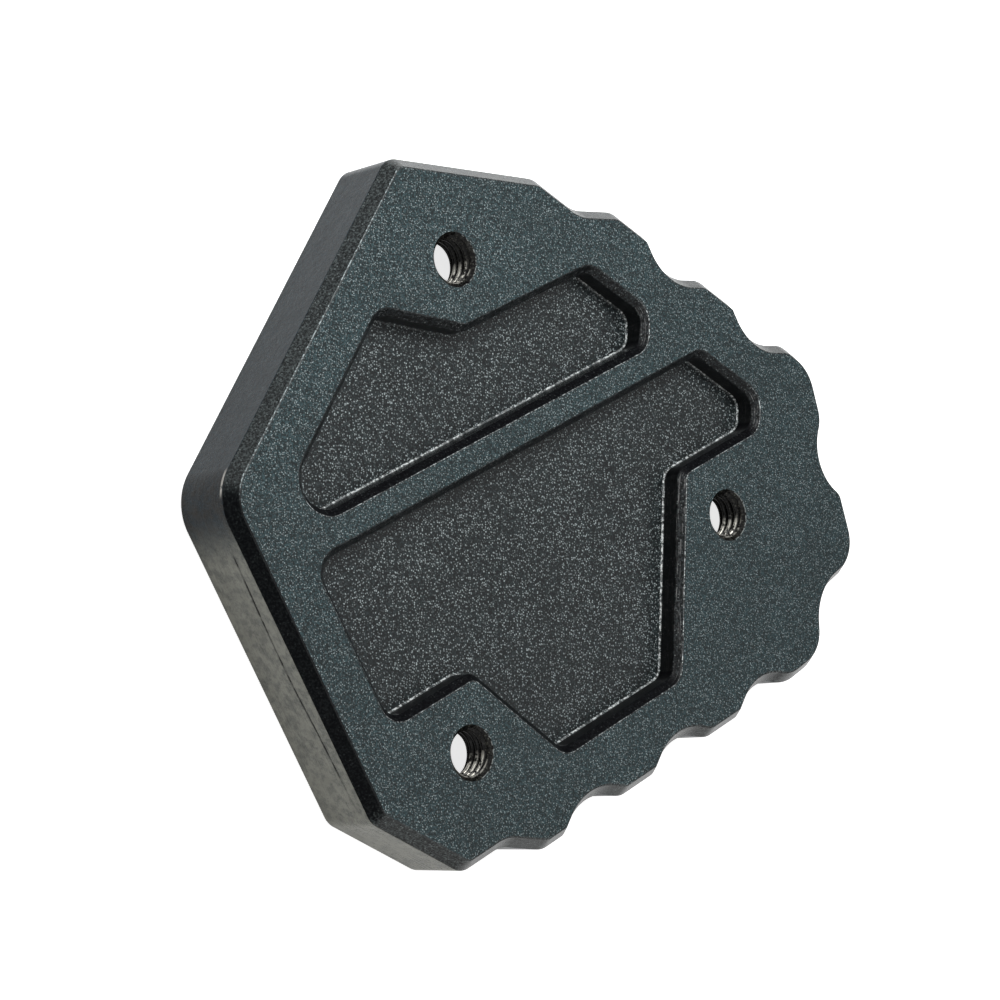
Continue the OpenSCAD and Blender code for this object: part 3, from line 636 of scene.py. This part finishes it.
def metalFinish(name, rearPoint):
    look = finishes[name]
    material, tree = bareMaterial(name)
    here = Wire(tree).node("ShaderNodeTexCoord", out="Object").stretched(mm, mm, mm)  # millimetres on the piece
    surface = Wire(tree).node("ShaderNodeUVMap", {"uv_map": "Surface"}).stretched(mm, mm, 0)
    edge = Wire(tree).node("ShaderNodeAttribute", {"attribute_name": "edgeWornAndLit"}, out="Fac")
    facing = Wire(tree).node("ShaderNodeAttribute", {"attribute_name": "facing"}, out="Vector")
    outward, flatward, _ = facing.parts()
    run, rise, _ = surface.parts()
    run = run - rearPoint
    black, metal = None, 0.0

    # Grains in the film: their light domes also paint the sparkle of light on them, each with a painted shadow beside
    # it
    peel = here.noise(1 / look["grain"], *grains["peel"])
    fine = here.noise(1 / look["fine"], *grains["fine"])
    cloud = here.noise(*noises["cloud"])
    cells = here.cells(1 / look["grain"])
    dome = cells.ramp(*grains["dome"], 1.0, 0.0) * cells.other("Color").parts()[0].ramp(look["grainLow"], 1.0)
    leeShadow = here.moved(*grains["leeShadowShift"]).cells(1 / look["grain"]).ramp(*grains["leeShadow"], 1.0, 0.0)
    height = dome * look["grainHeight"] + (fine - 0.5) * look["fineHeight"]
    rough = look["rough"] + (peel - 0.5) * look["roughSwing"] + (cloud - 0.5) * grains["cloudRough"]
    pale = (peel.ramp(*grains["film"]) * (grains["filmBase"] + cloud)).atMost(1.0)
    colour = pale.blend(opaque(look["dark"]), opaque(look["light"]))
    # darkens one side of each grain: a painted shadow
    colour = (leeShadow * grains["leeShadowShare"]).blend(colour, opaque(look["dark"]))
    everywhere, clouded, clumped = grains["shares"]
    shown = dome * (everywhere + clouded * cloud + clumped * peel.ramp(*grains["clump"]))
    colour = shown.atMost(1.0).blend(colour, opaque(look["grainAndSparkleTone"]))

    if "streak" in look:
        lines = surface.stretched(*millLines["stretch"]).noise(*noises["lines"])
        height = height + (lines - 0.5) * look["streak"]
        rough = rough + (lines - 0.5) * millLines["rough"]
        if "lined" in look:
            breaks = surface.stretched(*millLines["breakStretch"]).noise(*noises["lines"]).ramp(*millLines["breaks"])
            # grey only on walls facing the rear: painted highlights on the mill lines
            lined = lines.ramp(*millLines["shown"]) * breaks * outward.ramp(*millLines["rearwardLit"], 1.0, 0.0)
            colour = lined.blend(colour, opaque([look["lined"]] * 3))

    # Edges lighten only where they face the rear, where the light falls: painted highlights along the scuffs
    rearwardLit = outward.ramp(*wearAndLight["rearwardLit"])
    if name in ("pocketBevel", "pocketFloor"):
        rearwardLit = rearwardLit.atLeast(flatward.ramp(*wearAndLight["ribward"]))
    # On pocket walls and bevels that face +y, along the rib's shadowed side, the black film is mixed in: painted shade
    if name in ("pocketBevel", "pocketWall"):
        black = flatward.ramp(*wearAndLight["ribShadeSide"]) * wearAndLight["ribShade"]
    if name != "threadWall":
        edge = edge * rearwardLit
    if name == "edgeBevel":
        cut = between(run + (peel - 0.5) * lowBevel["waver"], *lowBevel["cut"])
        # The black of the bevel here is painted shade
        black = cut * lowBevel["black"]
        edge = edge * (1 - between(run, *lowBevel["unworn"]))
        rough = rough - cut * lowBevel["smoother"]
        height = height * (1 - cut * lowBevel["flatter"])
    if name == "sideWall":
        colour, height, black = lowRearWall(here, run, rise, cloud, fine, colour, height)
    chips = here.noise(*noises["chips"])
    if name == "threadWall":  # bright bare metal on the crests of one side, as where screws rub, to paint glints; and a grey rim at the ground face, only on the side facing the rear: a painted highlight
        worn = metal = edge * here.noise(*noises["rubGlint"]).ramp(*wearAndLight["threadSpan"])
        top = footPlate["plateThickness"]
        lipHighlight = here.parts()[2].ramp(top - wearAndLight["lipLow"], top - wearAndLight["lipHigh"])
        colour = (lipHighlight * rearwardLit * chips.ramp(*wearAndLight["lipSpan"])).blend(colour, opaque(wearAndLight["lipHighlightColour"]))
    else:
        soft = here.noise(*noises["wearAndLight"]).ramp(*wearAndLight["softSpan"])
        worn = edge * (wearAndLight["base"] + wearAndLight["soft"] * soft + wearAndLight["chips"] * chips.ramp(*wearAndLight["chipSpan"]))
    # Scuffed edges, their painted highlights, and on the threads the painted glints take the edge colour
    colour = worn.atMost(1.0).blend(colour, opaque(look["worn"]))

    bump = height.node("ShaderNodeBump", None, {"Strength": 1.0, "Distance": 1 / mm, "Height": height})
    shader = colour.node("ShaderNodeBsdfPrincipled", None, {
        "Base Color": colour, "Roughness": rough.atLeast(grains["leastRough"]).atMost(1.0), "Metallic": metal,
        "IOR": look["ior"], "Normal": bump})
    if black is not None:
        film = colour.node("ShaderNodeBsdfPrincipled", None, {
            "Base Color": opaque(blackFilmAndShade["colour"]), "Roughness": blackFilmAndShade["rough"], "IOR": blackFilmAndShade["ior"]})
        shader = shader.node("ShaderNodeMixShader", None, {0: black, 1: shader, 2: film})
    shader.ends("ShaderNodeOutputMaterial")
    return material


def openEdges(mesh):
    used = {}
    for poly in mesh.polygons:
        for key in poly.edge_keys:
            used[key] = used.get(key, 0) + 1
    return sum(1 for n in used.values() if n != 2)


def skinMesh(name, skin, materials):
    mesh = bpy.data.meshes.new(name)
    mesh.from_pydata([tuple(s) for s in skin.spots], [], skin.faces)
    order = list(materials)
    for finish in order:
        mesh.materials.append(materials[finish])
    mesh.polygons.foreach_set("material_index", [order.index(finish) for finish in skin.finishes])
    mesh.polygons.foreach_set("use_smooth", [True] * len(skin.faces))
    mesh.attributes.new("edgeWornAndLit", "FLOAT", "POINT").data.foreach_set("value", skin.worn)
    facing = mesh.attributes.new("facing", "FLOAT_VECTOR", "POINT")
    facing.data.foreach_set("vector", [v for way in skin.facing for v in way])
    mesh.uv_layers.new(name="Surface").data.foreach_set("uv", [v for pair in skin.maps for v in pair])
    mesh.update()
    mesh.normals_split_custom_set([tuple(n) for n in skin.normals])
    print(name, "has", len(mesh.polygons), "faces and", openEdges(mesh), "edges not shared by two faces")
    return mesh


def buildFootPlate(p):
    outline, smallPocket, largePocket, seat, holes = plateLines(p)
    edge = [spotOn(arc, outward, 0) for arc, outward, _ in columnsOf(outline, p["measureStep"])[0]]
    middle = Vector(((max(s.x for s in edge) + min(s.x for s in edge)) / 2,
                     (max(s.y for s in edge) + min(s.y for s in edge)) / 2))
    top, bevel, pocketBevel = p["plateThickness"], p["bevelWidth"], p["pocketBevel"]
    floor, seatTop = top - p["pocketDepth"], top - p["webThickness"]
    on = 0.5  # how far a section's first and last point lie beyond it
    skin = Skin(middle)
    wallProfile = softProfile(
        [(on, 0), (0, 0), (0, top - p["bevelDepth"]), (bevel, top), (bevel + on, top)],
        [p["softFoot"], p["softBevel"], p["softFace"]], [0, 0, 1],
        ["sideWall", "sideWall", "sideWall", "edgeBevel", "edgeBevel", "blastedFace"], p["filletSteps"])
    pocketProfile = softProfile(
        [(-on, floor), (0, floor), (0, top - pocketBevel), (pocketBevel, top), (pocketBevel + on, top)],
        [p["softFloor"], p["softBevel"], p["softMouth"]], [p["floorWornAndLit"], 0, 1],
        ["pocketFloor", "pocketWall", "pocketBevel", "pocketBevel", "pocketBevel", "blastedFace"], p["filletSteps"])
    seatProfile = softProfile(
        [(on, 0), (0, 0), (0, seatTop), (-on, seatTop)],
        [p["softFoot"], p["softSeat"]], [0, 0],
        ["sideWall", "sideWall", "sideWall", "pocketFloor"], p["filletSteps"])
    wallRings = skin.strip(outline, wallProfile, p["arcStep"])
    smallRings = skin.strip(smallPocket, pocketProfile, p["arcStep"])
    largeRings = skin.strip(largePocket, pocketProfile, p["arcStep"])
    seatRings = skin.strip(seat, seatProfile, p["arcStep"])
    columns, wide = screwThread["Columns"], screwThread["Mouth Radius"] * mm
    mouths = [skin.circle(hole, wide, top, columns) for hole in holes]
    feet = [skin.circle(hole, wide, seatTop, columns) for hole in holes]
    tris = skin.flat([wallRings[-1], smallRings[-1], largeRings[-1]] + mouths, "blastedFace", True)
    tris += skin.flat([smallRings[0]], "pocketFloor", True) + skin.flat([largeRings[0]], "pocketFloor", True)
    tris += skin.flat([wallRings[0], seatRings[0]], "sideWall", False)
    tris += skin.flat([seatRings[-1]] + feet, "pocketFloor", False)
    print("plate skin:", len(skin.spots), "points,", tris, "flat triangles")

    materials = {name: metalFinish(name, rearPointRun(outline)) for name in finishes}
    print("finishes ready:", list(materials))
    rims = [i for ring in mouths + feet for i in ring]
    addThreads(skin, holes, rims, seatTop, top, materials["threadWall"])
    plate = bpy.data.objects.new("foot_plate_skin", skinMesh("foot_plate_skin", skin, materials))
    scene.collection.objects.link(plate)
    return plate


plate = buildFootPlate(footPlate)
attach(plate, "root")
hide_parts("foot_plate")
print("foot plate built")


# Floor, flags and light. Lengths in metres
studio = {
    "floorSize": 2.0, "floorDrop": 0.00005, "floorColour": 0.8, "floorGlow": 0.78, "floorShine": 0.45,
    "worldLevel": 0.32, "contact": 0.006, "contactSpan": (0.05, 0.42), "contactSamples": 4,
    "flagRadius": 0.45, "flagColour": 0.004, "flagColumns": 72,
    "flagHeights": (  # at angles round the plate
        (0, 0.30), (60, 0.20), (105, 0.12), (150, 0.12), (185, 0.26),
        (225, 0.32), (262, 0.09), (292, 0.09), (325, 0.22), (360, 0.30)),
    "boxes": (  # place, size, power in watts, colour, seen in reflections
        ((0.00, 0.10, 0.62), 0.28, 0.5, (1, 1, 1), True),
        ((0.05, 0.36, 0.42), 0.22, 0.7, (1, 1, 1), True),
        ((-0.30, -0.42, 0.55), 0.30, 0.3, (1, 1, 1), True),
        ((-0.035, 0.10, 0.13), 0.07, 0.20, (0.97, 1, 1), False),
        ((-0.25, -0.30, 0.13), 0.12, 0.60, (1, 0.97, 0.92), False),
    ),
}


def straightAndSeen(tree):  # camera rays, and with them the glossy and transmission rays
    straight = Wire(tree).node("ShaderNodeLightPath", out="Is Camera Ray")
    seen = straight + straight.other("Is Glossy Ray") + straight.other("Is Transmission Ray")
    return straight, seen.atMost(1.0)


def layFloor():
    half = studio["floorSize"] / 2
    mesh = bpy.data.meshes.new("studioFloor")
    mesh.from_pydata([(-half, -half, 0), (half, -half, 0), (half, half, 0), (-half, half, 0)], [], [(0, 1, 2, 3)])
    floor = bpy.data.objects.new("studioFloor", mesh)
    floor.location.z = -studio["floorDrop"]
    scene.collection.objects.link(floor)
    material, tree = bareMaterial("floorWhite")
    straight, seen = straightAndSeen(tree)
    matt = seen.node("ShaderNodeBsdfDiffuse", None, {"Color": opaque([studio["floorColour"]] * 3)})
    # Reflections see the floor's glow darkened by ambient occlusion near the plate: a painted contact shadow
    clear = seen.node("ShaderNodeAmbientOcclusion", {"samples": studio["contactSamples"]},
                      {"Distance": studio["contact"]}, out="AO").ramp(*studio["contactSpan"])
    strength = (straight + (seen - straight) * clear * studio["floorShine"]) * studio["floorGlow"]
    glow = seen.node("ShaderNodeEmission", None, {"Color": (1, 1, 1, 1), "Strength": strength})
    matt.node("ShaderNodeAddShader", None, {0: matt, 1: glow}).ends("ShaderNodeOutputMaterial")
    mesh.materials.append(material)


def flagTop(angle):
    for (a, low), (b, high) in zip(studio["flagHeights"], studio["flagHeights"][1:]):
        if a <= angle <= b:
            return low + (high - low) * (angle - a) / (b - a)


def standFlags():  # a dark ring round the object, out of the camera's sight
    count = studio["flagColumns"]
    angles = [360 * k / count for k in range(count)]
    ring = [polar(studio["flagRadius"], angle) for angle in angles]
    mesh = bpy.data.meshes.new("studioFlags")
    mesh.from_pydata([(s.x, s.y, 0) for s in ring] + [(s.x, s.y, flagTop(angle)) for s, angle in zip(ring, angles)], [],
                     [(k, k + count, (k + 1) % count + count, (k + 1) % count) for k in range(count)])
    flags = bpy.data.objects.new("studioFlags", mesh)
    scene.collection.objects.link(flags)
    material, tree = bareMaterial("flagBlack")
    Wire(tree).node("ShaderNodeBsdfPrincipled", None, {
        "Base Color": opaque([studio["flagColour"]] * 3), "Roughness": 1.0,
        "Specular IOR Level": 0.0}).ends("ShaderNodeOutputMaterial")
    mesh.materials.append(material)
    flags.visible_camera = False


def hangLights():
    for k, (place, size, power, tint, reflected) in enumerate(studio["boxes"]):
        lamp = bpy.data.lights.new(f"softBox{k + 1}", "AREA")
        lamp.shape, lamp.size, lamp.energy, lamp.color = "SQUARE", size, power, tint
        holder = bpy.data.objects.new(lamp.name, lamp)
        holder.location = place
        holder.rotation_euler = (-Vector(place)).to_track_quat("-Z", "Y").to_euler()
        holder.visible_camera, holder.visible_glossy = False, reflected
        scene.collection.objects.link(holder)
    world = bpy.data.worlds.new("studioWorld")
    world.use_nodes = True
    world.node_tree.nodes.clear()
    _, seen = straightAndSeen(world.node_tree)
    level = studio["worldLevel"]
    seen.node("ShaderNodeBackground", None, {
        "Color": (1, 1, 1, 1), "Strength": level + seen * (1 - level)}).ends("ShaderNodeOutputWorld")
    scene.world = world


layFloor()
standFlags()
hangLights()
print("studio ready")

# The camera stands where the photograph was taken from
view = {
    "place": (-0.2088502, -0.0259515, 0.2373464), "lens": 97.196, "sensor": 36, "clipStart": 0.01,
    "right": (0.7574377, -0.0356308, 0.6519345),
    "down": (0.0324729, -0.9952182, -0.0921206),
    "forward": (0.6520994, 0.0909459, -0.7526588),
}
lensData = bpy.data.cameras.new("camera")
lensData.lens, lensData.sensor_width, lensData.sensor_fit = view["lens"], view["sensor"], "HORIZONTAL"
lensData.clip_start = view["clipStart"]
camera = bpy.data.objects.new("camera", lensData)
scene.collection.objects.link(camera)
turned = Matrix((view["right"], [-v for v in view["down"]], [-v for v in view["forward"]])).transposed()
camera.matrix_world = Matrix.Translation(view["place"]) @ turned.to_4x4()
scene.camera = camera
scene.view_settings.view_transform = "Standard"
print("camera placed")
